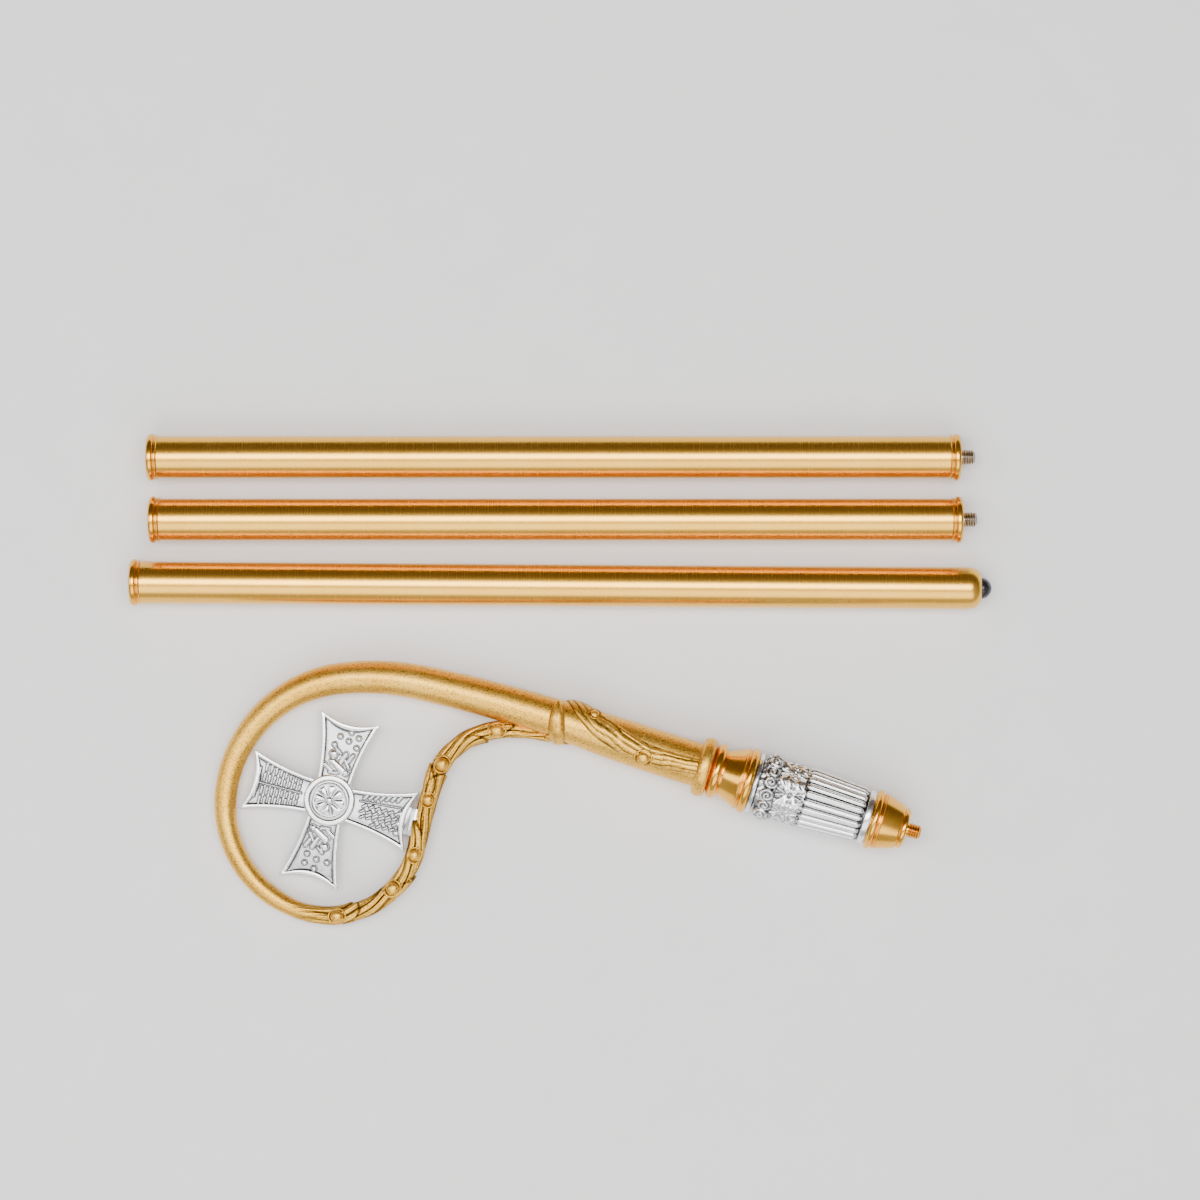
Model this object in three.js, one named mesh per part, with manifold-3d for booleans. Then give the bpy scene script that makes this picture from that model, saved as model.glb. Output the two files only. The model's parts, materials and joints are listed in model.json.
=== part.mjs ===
// A bishop's crosier that takes apart for travel: a crook head on its knop, and three staff
// sections that screw together below it. The four lie side by side on the plane z = 0.
// Millimetres, +X along the staff sections, +Y from the crook towards them, +Z up.
import * as THREE from 'three';
import { mergeVertices } from 'three/addons/utils/BufferGeometryUtils.js';
import Module from 'manifold-3d';

const wasm = await Module();
wasm.setup();

const DEG = Math.PI / 180;

// ---------------------------------------------------------------- driving dimensions

const GAP = 0.3;          // clearance between pieces that seat on each other
const TURNED_SIDES = 18;

// Staff sections. Each one's own frame has its x axis along it, from the socket face at x = 0.
const ROD = {
  length: 483,            // socket face to shoulder face
  radius: 12.5,
  wall: 1.2,
  ringLength: 6,
  ringRadius: 14,
  spigotRadius: 11,       // turned end that goes into the tube
  spigotLength: 14,
};
const FOOT = {
  length: 506,            // socket face to the flat of the domed end
  domeLength: 8,
  flatRadius: 6.9,
  tipRadius: 6.4,
  tipOut: 6.5,            // how far the rubber stands out of the tube
  tipIn: 5,
};
const THREAD = {
  radius: 4.5,
  rootRadius: 3.9,
  turns: 4,
  neck: 1.8,
  out: 9,                 // length beyond the shoulder face
  inside: 8,              // length screwed into the shoulder
  boreRadius: 5,
  boreDepth: 12,
};

// Where the socket face of each staff section lies, and how it is turned on the floor.
const ROD_PLACES = [
  { x: -245.2, y: 133.7, turn: 0 },
  { x: -244, y: 96.6, turn: 0 },
  { x: -255.3, y: 59.3, turn: -0.4 },
];

// Crook head. Its own frame has x up the staff from the shoulder face, y towards the curl. Pitch and
// roll lay it on its knop and on two points of the curl.
const HEAD = { x: 204.8, y: -86.8, turn: 163, pitch: 2.21, roll: -1.01 };

// Turned pieces of the head, as [distance from the shoulder face, radius].
const LOWER_CUP = [
  [8.3, 0], [8.3, 4.8], [0, 4.8], [0, 11.4], [1, 12.2], [2.6, 12.2], [3.6, 11.6], [3.6, 13.1], [15.4, 16.9],
  [16.4, 17.1], [17.2, 16.2], [18.4, 17.7], [20, 18], [21.4, 17.4], [22.2, 16], [22.2, 0],
];
const UPPER_CUP = [
  [94.4, 0], [94.4, 18], [95.4, 19.5], [97.4, 20], [99.4, 19.5], [100.4, 18.4], [101.2, 19],
  [112.6, 13.6], [113.8, 13.3], [114.6, 15.4], [116.8, 16.7], [119, 15.6], [120.2, 14], [120.2, 0],
];
const COLLAR = [
  [120.5, 0], [120.5, 15], [121.6, 17], [124.6, 17.9], [127.6, 17], [128.6, 14.6], [128.6, 0],
];

// Silver knop: height bands between the two cups, and the relief that each band carries.
const KNOP = {
  start: 22.5,
  end: 94.1,
  ringRadius: 16.1,
  topRingRadius: 18.2,
  fluteStart: 27,
  fluteEnd: 63,
  fluteRadius: [16.5, 18.8],
  fluteDepth: 1.9,
  flutes: 22,
  leafStart: 64.5,
  leafEnd: 80,
  leafRadius: 17.3,
  leafRelief: 2.3,
  scrollEnd: 88.5,
  scrollRadius: 15.6,
  scrollRelief: 5.2,
  neckRadius: 14.4,
  corners: 8,
  ringEnd: 26.2,
  reliefHeights: [27, 29, 61, 63, 64.5, 68, 72, 76, 80, 82, 84.5, 87, 88.4],
  coveEnd: [90.4, 15.4],    // [height, radius] where the hollow neck turns out again
  topRingStart: 91.8,
};

// Curl and vine, one line of tangent arcs from the collar: [length, turn in degrees].
const STAFF_START = 128.6;
const BENDS = [[67, -2], [105, 7], [48, 18], [106, 78], [93, 81], [86, 92], [39, -3], [58, -76], [27, -15]];
const CURL_LENGTH = 432;   // arc length of the smooth tube, before the bark takes over
const VINE_START = 414;
const VINE_LENGTH = 629;

// Radius of the curl and vine at arc lengths from the collar.
const TAPER = [
  [0, 13.1], [45, 13], [95, 11.3], [170, 10.4], [230, 9.2], [295, 7.1], [330, 6.5],
  [400, 5.6], [432, 5.2], [590, 5.2], [629, 2.6],
];

// The vine on the staff: [distance above the collar, degrees round the staff, half width].
const CLIMB = [
  [0, 88, 5], [16, 81, 5.6], [34, 79, 6.4], [48, 92, 7.4], [62, 113, 7.6], [73, 145, 7.2],
  [79, 185, 7], [81, 230, 6.6], [80, 275, 6], [79, 315, 5.6], [82, 350, 5.4], [92, 372, 4],
];
const CLIMB_RISE = 2.6;    // how far it stands out of the staff
const RELIEF_SINK = 0.4;   // share of the rise by which a laid branch's middle is sunk into the staff
const BUD_SINK = 0.25;     // share of a bud's radius by which its middle is sunk
const CLASP = [[83, -20, 3.6], [84, 20, 4.8], [86, 60, 4.4], [88, 100, 3.4], [90, 138, 1.4]];
const CLASP_RISE = 2.2;

// Buds on the vine: arc length, degrees round it from the +y side over the top, radius.
const BUDS = [
  [438, 90, 2.7], [476, 84, 2.7], [500, 95, 2.5], [534, 92, 2.4], [557, 96, 2.6], [597, 88, 2.8],
];
const CLIMB_BUDS = [[32, 70, 3.6], [67.5, 137, 2.64]];

// Cross with flared arms, in its own frame with the tab on +x.
const CROSS = {
  x: 332.4,
  y: 84.7,
  turn: 182.5,
  armLength: 51,
  armHalfWidth: 18.4,
  rootHalfWidth: 10,
  endDip: 4.4,
  rimWidth: 3,
  plate: 3,
  rimHeight: 0.8,
  medalRadius: 15.5,
  medalRim: 3.6,
  medalThickness: 6.4,
  medalSunk: 0.8,
  medalSlope: 0.6,
  tabHalfWidth: 8.3,
  tabThickness: 3,
  tabStart: 45,
  tabEnd: 56,
  vineBeside: [490, 550],   // arc lengths of the vine that the tab is cut round
};

const SILVER = { color: 0xc9c9cc, roughness: 0.35, metalness: 1 };
const GILT = { color: 0xd9a550, roughness: 0.42, metalness: 1 };
const POLISHED = { color: 0xe0a94c, roughness: 0.16, metalness: 1 };
const BRUSHED = { color: 0xd8a758, roughness: 0.3, metalness: 1 };
const STEEL = { color: 0x9a958c, roughness: 0.35, metalness: 1 };
const RUBBER = { color: 0x0b0b0d, roughness: 0.3, metalness: 0 };

// ---------------------------------------------------------------- solids and meshes

// Turns a closed three.js geometry into a solid that can be joined and cut.
function solid(geometry) {
  const bare = new THREE.BufferGeometry();
  bare.setAttribute('position', geometry.attributes.position);
  bare.setIndex(geometry.index);
  const merged = mergeVertices(bare, 1e-4);
  const corners = merged.index.array;
  const triangles = [];
  for (let i = 0; i < corners.length; i += 3) {
    const [a, b, c] = corners.slice(i, i + 3);
    if (a !== b && b !== c && c !== a) triangles.push(a, b, c);
  }
  return new wasm.Manifold(new wasm.Mesh({
    numProp: 3,
    vertProperties: merged.attributes.position.array,
    triVerts: Uint32Array.from(triangles),
  }));
}

// Turns a solid back into a named mesh.
function mesh(name, body, look) {
  const { vertProperties, triVerts } = body.getMesh();
  const geometry = new THREE.BufferGeometry();
  geometry.setAttribute('position', new THREE.BufferAttribute(vertProperties, 3));
  geometry.setIndex(new THREE.BufferAttribute(triVerts, 1));
  geometry.computeVertexNormals();
  const made = new THREE.Mesh(geometry, new THREE.MeshStandardMaterial(look));
  made.name = name;
  return made;
}

// A turned piece about the x axis from [x, radius] points, with a flat side facing down.
function turned(profile, sides = TURNED_SIDES) {
  const points = profile.map(([x, radius]) => new THREE.Vector2(radius, x));
  return new THREE.LatheGeometry(points, sides, Math.PI / sides).rotateZ(-Math.PI / 2);
}

// A closed tube along frameAt(t), t from 0 to 1, with an oval section of half sizes sectionAt(t).
function sweep(frameAt, sectionAt, sides, steps) {
  const geometry = new THREE.CylinderGeometry(1, 1, 1, sides, steps);
  const position = geometry.attributes.position;
  const unit = new THREE.Vector3();
  for (let i = 0; i < position.count; i += 1) {
    unit.fromBufferAttribute(position, i);
    const { point, along, up } = frameAt(unit.y + 0.5);
    const [width, height] = sectionAt(unit.y + 0.5);
    const side = along.clone().cross(up);
    const placed = point.clone().addScaledVector(side, unit.x * width).addScaledVector(up, unit.z * height);
    position.setXYZ(i, placed.x, placed.y, placed.z);
  }
  return geometry;
}

// Reads a column of a table whose first column rises, with straight stretches between its rows.
function lookUp(table, at, column = 1) {
  const last = table.length - 1;
  let row = 0;
  while (row < last - 1 && table[row + 1][0] < at) row += 1;
  const [low, high] = [table[row], table[row + 1]];
  const share = THREE.MathUtils.clamp((at - low[0]) / (high[0] - low[0]), 0, 1);
  return THREE.MathUtils.lerp(low[column], high[column], share);
}

// ---------------------------------------------------------------- staff sections

function ringProfile(start, direction) {
  // a rounded bead at the end face and a thin fillet towards the tube
  const bead = [[0, 12.8], [2.1, ROD.ringRadius], [4.1, 12.9], [ROD.ringLength, 12.9]];
  return bead.map(([x, radius]) => [start + direction * x, radius]);
}

function socketEnd() {
  const spigotEnd = ROD.ringLength + ROD.spigotLength;
  return turned([
    [THREAD.boreDepth, 0], [THREAD.boreDepth, THREAD.boreRadius], [0.8, THREAD.boreRadius],
    [0, THREAD.boreRadius + 0.8], ...ringProfile(0, 1), [ROD.ringLength, ROD.spigotRadius],
    [spigotEnd, ROD.spigotRadius], [spigotEnd, 0],
  ]);
}

function shoulderEnd() {
  const face = ROD.length;
  const back = face - ROD.ringLength;
  const spigotEnd = back - ROD.spigotLength;
  const bore = THREAD.radius + GAP;
  return turned([
    [spigotEnd, 0], [spigotEnd, ROD.spigotRadius], [back, ROD.spigotRadius],
    ...ringProfile(face, -1).reverse(), [face, bore], [face - THREAD.inside - GAP, bore],
    [face - THREAD.inside - GAP, 0],
  ]);
}

// The tube is bored at each end to take a turned fitting, and sealed between them.
function boredTube() {
  const inner = ROD.radius - ROD.wall;
  const start = ROD.ringLength + GAP;
  const end = ROD.length - ROD.ringLength - GAP;
  const depth = ROD.spigotLength + GAP;
  return turned([
    [start + depth, 0], [start + depth, inner], [start, inner], [start, ROD.radius],
    [end, ROD.radius], [end, inner], [end - depth, inner], [end - depth, 0],
  ]);
}

function domedTube() {
  const inner = ROD.radius - ROD.wall;
  const start = ROD.ringLength + GAP;
  const depth = ROD.spigotLength + GAP;
  const tipBore = FOOT.tipRadius + GAP;
  const tipDepth = FOOT.length - FOOT.tipIn - GAP;
  const dome = [];
  for (let turn = 0; turn <= 90; turn += 22.5) {
    dome.push([
      FOOT.length - FOOT.domeLength * (1 - Math.sin(turn * DEG)),
      FOOT.flatRadius + (ROD.radius - FOOT.flatRadius) * Math.cos(turn * DEG),
    ]);
  }
  return turned([
    [start + depth, 0], [start + depth, inner], [start, inner], [start, ROD.radius],
    ...dome, [FOOT.length, tipBore], [tipDepth, tipBore], [tipDepth, 0],
  ]);
}

function rubberTip() {
  const start = FOOT.length - FOOT.tipIn;
  const nose = [];
  for (let turn = 0; turn <= 90; turn += 22.5) {
    nose.push([
      FOOT.length + 1 + (FOOT.tipOut - 1) * Math.sin(turn * DEG),
      FOOT.tipRadius * Math.cos(turn * DEG),
    ]);
  }
  nose[nose.length - 1][1] = 0;
  return turned([[start, 0], [start, FOOT.tipRadius], ...nose]);
}

// A threaded stud out of a shoulder face: a plain inner end, a neck, then its crests and roots.
function stud(shoulder = 0) {
  const pitch = (THREAD.out - THREAD.neck) / (THREAD.turns + 0.5);
  const profile = [
    [shoulder - THREAD.inside, 0], [shoulder - THREAD.inside, THREAD.rootRadius],
    [shoulder + THREAD.neck, THREAD.rootRadius],
  ];
  for (let turn = 0; turn < THREAD.turns; turn += 1) {
    const at = shoulder + THREAD.neck + pitch * (turn + 0.5);
    profile.push([at, THREAD.radius], [at + pitch / 2, THREAD.rootRadius]);
  }
  const tip = shoulder + THREAD.out;
  profile.push([tip, THREAD.rootRadius - 0.6], [tip, 0]);
  return turned(profile, 12);
}

function staffSection(number, { x, y, turn }) {
  const group = new THREE.Group();
  const name = `rod_${number}`;
  const isFoot = number === ROD_PLACES.length;
  group.add(mesh(`${name}_socket_end`, solid(socketEnd()), POLISHED));
  group.add(mesh(`${name}_tube`, solid(isFoot ? domedTube() : boredTube()), BRUSHED));
  if (isFoot) {
    group.add(mesh(`${name}_tip`, solid(rubberTip()), RUBBER));
  } else {
    group.add(mesh(`${name}_shoulder_end`, solid(shoulderEnd()), POLISHED));
    group.add(mesh(`${name}_stud`, solid(stud(ROD.length)), STEEL));
  }
  // The foot section has a ring at one end only, so it leans down to its domed end.
  const lean = isFoot ? Math.atan((ROD.ringRadius - ROD.radius) / (FOOT.length - FOOT.domeLength)) : 0;
  group.rotation.set(0, lean, turn * DEG, 'ZYX');
  group.position.set(x, y, ROD.ringRadius * Math.cos(Math.PI / TURNED_SIDES));
  return group;
}

// ---------------------------------------------------------------- crook

// Point and heading on the line of arcs, at an arc length from the collar.
function alongCrook(length) {
  const point = new THREE.Vector3(STAFF_START, 0, 0);
  let heading = 0;
  let left = length;
  for (const [run, turn] of BENDS) {
    const step = Math.min(left, run);
    const radius = run / (turn * DEG);
    const next = heading + step / radius;
    point.x += radius * (Math.sin(next) - Math.sin(heading));
    point.y -= radius * (Math.cos(next) - Math.cos(heading));
    heading = next;
    left -= step;
  }
  point.x += left * Math.cos(heading);
  point.y += left * Math.sin(heading);
  return { point, along: new THREE.Vector3(Math.cos(heading), Math.sin(heading), 0) };
}

const UP = new THREE.Vector3(0, 0, 1);

function tube(start, end, steps, sides, extra = 0) {
  const at = (t) => THREE.MathUtils.lerp(start, end, t);
  return sweep(
    (t) => ({ ...alongCrook(at(t)), up: UP }),
    (t) => [lookUp(TAPER, at(t)) + extra, lookUp(TAPER, at(t)) + extra],
    sides,
    steps,
  );
}

// A point on the skin of the staff or vine, with the outward direction there.
function onSkin(length, degrees, sink) {
  const { point, along } = alongCrook(length);
  const side = new THREE.Vector3().crossVectors(UP, along);
  const out = side.multiplyScalar(Math.cos(degrees * DEG)).addScaledVector(UP, Math.sin(degrees * DEG));
  return { point: point.addScaledVector(out, lookUp(TAPER, length) - sink), out };
}

// A low branch laid on the staff along a table of [length, degrees, half width].
function relief(table, rise, sides, steps) {
  const route = new THREE.CatmullRomCurve3(table.map((row) => new THREE.Vector3(...row)));
  const frameAt = (t) => {
    const here = route.getPoint(t);
    const { point, out } = onSkin(here.x, here.y, rise * RELIEF_SINK);
    const before = route.getPoint(Math.max(t - 0.01, 0));
    const after = route.getPoint(Math.min(t + 0.01, 1));
    const along = onSkin(after.x, after.y, 0).point.sub(onSkin(before.x, before.y, 0).point);
    along.addScaledVector(out, -along.dot(out)).normalize();
    return { point, along, up: out };
  };
  return sweep(frameAt, (t) => [route.getPoint(t).z, rise * (1 + RELIEF_SINK)], sides, steps);
}

function bud(length, degrees, radius) {
  const { point } = onSkin(length, degrees, radius * BUD_SINK);
  return new THREE.SphereGeometry(radius, 6, 4).translate(point.x, point.y, point.z);
}

function crook() {
  let body = solid(turned(COLLAR));
  const pieces = [
    tube(-1, CURL_LENGTH, 34, 12),
    tube(VINE_START, VINE_LENGTH, 26, 8),
    relief(CLIMB, CLIMB_RISE, 8, 22),
    relief(CLASP, CLASP_RISE, 6, 9),
    ...BUDS.map((row) => bud(...row)),
    ...CLIMB_BUDS.map((row) => bud(...row)),
  ];
  for (const piece of pieces) body = body.add(solid(piece));
  return body;
}

// ---------------------------------------------------------------- knop

// Radius of the silver knop at a height and an angle round it. The scrolls and leaves stand at
// its corners, half a step off the curl's plane.
function knopRadius(height, angle) {
  const corner = Math.max(0, -Math.cos(angle * KNOP.corners));
  if (height > KNOP.scrollEnd) return KNOP.neckRadius;
  if (height > KNOP.leafEnd) {
    const swell = Math.sin(((height - KNOP.leafEnd) / (KNOP.scrollEnd - KNOP.leafEnd)) * Math.PI);
    return KNOP.scrollRadius + KNOP.scrollRelief * swell * corner;
  }
  if (height > KNOP.leafStart) {
    const swell = Math.sin(((height - KNOP.leafStart) / (KNOP.leafEnd - KNOP.leafStart)) * Math.PI);
    return KNOP.leafRadius + KNOP.leafRelief * swell * (0.35 + 0.65 * corner);
  }
  const share = (height - KNOP.fluteStart) / (KNOP.fluteEnd - KNOP.fluteStart);
  const ridge = THREE.MathUtils.lerp(...KNOP.fluteRadius, THREE.MathUtils.clamp(share, 0, 1));
  const valley = KNOP.fluteDepth * (1 - Math.cos(angle * KNOP.flutes)) / 2;
  const ends = share > 0.02 && share < 0.98 ? 1 : 0.3;
  return ridge - valley * ends;
}

function knop() {
  const rings = [
    [KNOP.start, 0], [KNOP.start, KNOP.ringRadius], [KNOP.ringEnd, KNOP.ringRadius],
    ...KNOP.reliefHeights.map((height) => [height, 1]),
    KNOP.coveEnd, [KNOP.topRingStart, KNOP.topRingRadius], [KNOP.end, KNOP.topRingRadius], [KNOP.end, 0],
  ];
  const geometry = turned(rings, KNOP.flutes * 2);
  const position = geometry.attributes.position;
  for (let i = 0; i < position.count; i += 1) {
    const [x, y, z] = [position.getX(i), position.getY(i), position.getZ(i)];
    const turnedRadius = Math.hypot(y, z);
    const isRelief = KNOP.reliefHeights.some((height) => Math.abs(height - x) < 1e-3) && turnedRadius < 1.01;
    const angle = Math.atan2(z, y) + Math.PI / (KNOP.flutes * 2);
    const radius = isRelief ? knopRadius(x, angle) : turnedRadius;
    const scale = radius / (turnedRadius || 1);
    position.setXYZ(i, x, y * scale, z * scale);
  }
  return solid(geometry);
}

// ---------------------------------------------------------------- cross

// Outline of the four flared arms, drawn in by a margin.
function crossShape(margin) {
  const tip = CROSS.armLength - margin * 1.4;
  const half = CROSS.armHalfWidth - margin * 1.6;
  const root = CROSS.rootHalfWidth - margin;
  const dip = tip - CROSS.endDip * 2;
  const shape = new THREE.Shape();
  shape.moveTo(root, -root);
  for (let arm = 0; arm < 4; arm += 1) {
    const c = Math.round(Math.cos(arm * 90 * DEG));
    const s = Math.round(Math.sin(arm * 90 * DEG));
    const put = (x, y) => [c * x - s * y, s * x + c * y];
    shape.quadraticCurveTo(...put(tip * 0.62, -root - 1), ...put(tip, -half));
    shape.quadraticCurveTo(...put(dip, 0), ...put(tip, half));
    shape.quadraticCurveTo(...put(tip * 0.62, root + 1), ...put(root, root));
  }
  return shape;
}

function slab(shape, thickness) {
  const options = { depth: thickness, bevelEnabled: false, curveSegments: 4 };
  return new THREE.ExtrudeGeometry(shape, options).translate(0, 0, -thickness / 2);
}

// A round medallion about the z axis, with a raised rim and a sunk field on both faces.
function medallion() {
  const { medalRadius: outer, medalRim: rim, medalThickness: thickness, medalSunk: sunk } = CROSS;
  const half = thickness / 2;
  const field = half - sunk;
  const side = [
    [0, field], [outer - rim, field], [outer - rim + CROSS.medalSlope, half], [outer - sunk, half],
  ];
  const points = [
    ...side.map(([radius, z]) => new THREE.Vector2(radius, -z)),
    new THREE.Vector2(outer, -field),
    new THREE.Vector2(outer, field),
    ...side.reverse().map(([radius, z]) => new THREE.Vector2(radius, z)),
  ];
  return new THREE.LatheGeometry(points, 20).rotateX(Math.PI / 2);
}

function cross() {
  const { plate, rimHeight, tabStart, tabEnd, tabHalfWidth, tabThickness } = CROSS;
  const full = plate + rimHeight * 2;
  const sunk = solid(slab(crossShape(CROSS.rimWidth), full * 2));
  const core = solid(slab(crossShape(0), plate));
  let body = solid(slab(crossShape(0), full)).subtract(sunk).add(core);
  const tab = new THREE.BoxGeometry(tabEnd - tabStart, tabHalfWidth * 2, tabThickness);
  body = body.add(solid(tab.translate((tabStart + tabEnd) / 2, 0, 0)));
  body = body.add(solid(medallion()));
  const place = new THREE.Matrix4().makeRotationZ(CROSS.turn * DEG).setPosition(CROSS.x, CROSS.y, 0);
  const clearance = tube(...CROSS.vineBeside, 14, 16, GAP).applyMatrix4(place.clone().invert());
  body = body.subtract(solid(clearance));
  const made = mesh('cross', body, SILVER);
  made.applyMatrix4(place);
  return made;
}

// ---------------------------------------------------------------- the whole crosier

function crookHead() {
  const group = new THREE.Group();
  group.add(mesh('crook', crook(), GILT));
  group.add(cross());
  group.add(mesh('upper_cup', solid(turned(UPPER_CUP)), POLISHED));
  group.add(mesh('silver_knop', knop(), SILVER));
  group.add(mesh('lower_cup', solid(turned(LOWER_CUP)), POLISHED));
  group.add(mesh('crook_stud', solid(stud().rotateY(Math.PI)), POLISHED));
  group.rotation.set(HEAD.roll * DEG, HEAD.pitch * DEG, HEAD.turn * DEG, 'ZYX');
  group.position.set(HEAD.x, HEAD.y, 0);
  group.updateMatrixWorld(true);
  group.position.z = -new THREE.Box3().setFromObject(group, true).min.z;
  return group;
}

const crosier = new THREE.Group();
crosier.add(crookHead());
ROD_PLACES.forEach((place, index) => crosier.add(staffSection(index + 1, place)));

// The origin is under the middle of the whole layout.
crosier.updateMatrixWorld(true);
const extent = new THREE.Box3().setFromObject(crosier, true);
const middle = extent.getCenter(new THREE.Vector3());
crosier.position.set(-middle.x, -middle.y, -extent.min.z);

export default crosier;
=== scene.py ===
"""Looks of the take-apart bishop's crosier: crook head and three staff sections, lying loose."""
import json
import math

import bpy
import numpy as np
from mathutils import Matrix, Vector

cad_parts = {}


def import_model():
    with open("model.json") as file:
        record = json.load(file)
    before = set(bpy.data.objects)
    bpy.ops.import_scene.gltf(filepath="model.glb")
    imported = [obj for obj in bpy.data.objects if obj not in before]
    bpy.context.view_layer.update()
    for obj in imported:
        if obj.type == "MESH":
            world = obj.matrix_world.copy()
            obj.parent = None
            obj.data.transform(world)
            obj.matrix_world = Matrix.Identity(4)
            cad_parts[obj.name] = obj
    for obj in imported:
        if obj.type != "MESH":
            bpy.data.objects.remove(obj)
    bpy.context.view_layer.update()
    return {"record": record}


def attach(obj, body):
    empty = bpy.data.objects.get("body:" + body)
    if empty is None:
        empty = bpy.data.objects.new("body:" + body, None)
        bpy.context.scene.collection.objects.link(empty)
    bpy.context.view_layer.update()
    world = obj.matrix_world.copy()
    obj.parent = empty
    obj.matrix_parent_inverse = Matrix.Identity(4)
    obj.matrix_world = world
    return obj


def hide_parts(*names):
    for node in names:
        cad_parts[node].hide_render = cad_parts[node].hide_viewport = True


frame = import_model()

MM = 0.001
TAU = 2 * math.pi

# ------------------------------------------------------------------ sizes, in millimetres

ROD_LENGTH = 483
ROD_RADIUS = 12.5
RING_RADIUS = 14
RING_LENGTH = 6
FOOT_LENGTH = 506
DOME_LENGTH = 8
FLAT_RADIUS = 6.9
TIP_RADIUS = 6.3
TIP_OUT = 6.4
THREAD_RADIUS = 4.5
THREAD_ROOT = 3.85
THREAD_PITCH = 1.5
THREAD_OUT = 9
BORE_RADIUS = 5
BORE_DEPTH = 12
RESTING_FLAT = 0.02

# The head's own frame: x up the staff from its shoulder face, y towards the curl.
HEAD_TURN = (-1.01, 2.21, 163)
SHOULDER_POINT = (0, 8, 0)
STAFF_START = 128.6
BENDS = [(67, -2), (105, 7), (48, 18), (106, 78), (93, 81), (86, 92), (39, -3), (58, -76),
         (27, -15)]
TAPER = [(0, 13.1), (45, 13), (95, 11.3), (170, 10.4), (230, 9.2), (295, 7.1), (330, 6.5),
         (400, 5.6), (432, 5.2), (590, 5.2), (629, 2.6)]
CURL_END = 436
VINE_START = 404
VINE_END = 629
CLIMB = [(0, 88, 5), (16, 81, 5.6), (34, 79, 6.4), (48, 92, 7.4), (62, 113, 7.6), (73, 145, 7.2),
         (79, 185, 7), (81, 230, 6.6), (80, 275, 6), (79, 315, 5.6), (82, 350, 5.4), (92, 372, 4)]
CLASP = [(83, -20, 2.6), (84, 20, 4.4), (86, 60, 5.2), (88, 100, 4.6), (90, 138, 2.0)]
CLIMB_RISE = 2.6
CLASP_RISE = 3.6
TONGUE = 8       # how far the bark's pointed ends are drawn out
BUDS = [(438, 90, 2.9), (476, 84, 3.0), (500, 95, 2.7), (534, 92, 2.6), (557, 96, 3.0), (597, 88, 3.0)]
CLIMB_BUDS = [(32, 70, 3.3), (67.5, 137, 2.4)]
BUD_STRETCH = 1.35   # how much longer a bud on the vine is than wide
BUD_SEAT = 0.9
CLIMB_BUD_STRETCH = 1.2
CLIMB_BUD_SEAT = 2.1
# Where bark overlaps the next stretch: arc length, degrees round the vine.
BARK_STEPS = [(452, 60), (489, 200), (520, 20), (552, 150), (554, 10), (590, 170), (606, 40)]

CROSS_PLACE = (332.4, 84.7, 182.5)
ARM_LENGTH = 51
ARM_HALF_WIDTH = 18.4
ROOT_HALF_WIDTH = 10
END_DIP = 4.4
RIM_WIDTH = 2.6
PLATE_HALF = 1.5
RIM_HALF = 2.3
MEDAL_RADIUS = 15.5
MEDAL_FIELD = 11.7
MEDAL_HALF = 3.2
DOT = 1.7
DARK_FOOT = 0.6      # width of the painted shade line round each bit of relief
TOP_DOTS = [(38.7, 3), (42.4, -3), (40.2, -8), (37.1, -2.6), (33.2, 5.2), (34.2, -8)]
FOOT_DOTS = [(34, -5), (36, 1.2), (36.3, 7.9), (39.6, -5.2), (41.6, 1.2)]
# Leaves of the leafy shape on an arm: start, end, width.
BEAST_LEAVES = [
    ((17.5, 3.4), (20.5, 8), 2.6), ((23.5, -1), (29.5, -3), 2.8), ((25, -5.2), (29.5, -7.2), 2.4),
    ((17, -0.6), (16.6, 4.4), 1.8), ((21.5, -6.4), (25.5, -3.4), 2.2), ((29, 0.4), (31.5, 3.8), 1.8),
]

KNOP_CORNERS = 8
KNOP_RADIUS = 18
FLUTES = 22
SCROLL = 4.6
KNOP_START = 22.6
KNOP_END = 94.1
REEDS_START = 27.1
REEDS_END = 63.2
LEAVES_START = 64.6
LEAVES_END = 80.2
BELL_END = 91.7


# ------------------------------------------------------------------ mesh helpers

def rod_matrix(number):
    """Frame of a staff section, from the record's socket face mount."""
    mount = next(m for m in frame["record"]["mounts"] if m["name"] == f"rod_{number}_socket_face")
    along = -Vector(mount["axis"])
    side = Vector((-along.y, along.x, 0)).normalized()
    up = along.cross(side)
    rotation = Matrix((along, side, up)).transposed().to_4x4()
    return Matrix.Translation(Vector(mount["pos_m"]) - side * 9 * MM) @ rotation


def head_matrix():
    mount = next(m for m in frame["record"]["mounts"] if m["name"] == "crook_shoulder")
    roll, pitch, turn = (math.radians(value) for value in HEAD_TURN)
    tipped = Matrix.Rotation(pitch, 4, "Y") @ Matrix.Rotation(roll, 4, "X")
    rotation = Matrix.Rotation(turn, 4, "Z") @ tipped
    origin = Vector(mount["pos_m"]) - rotation @ (Vector(SHOULDER_POINT) * MM)
    return Matrix.Translation(origin) @ rotation


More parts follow.
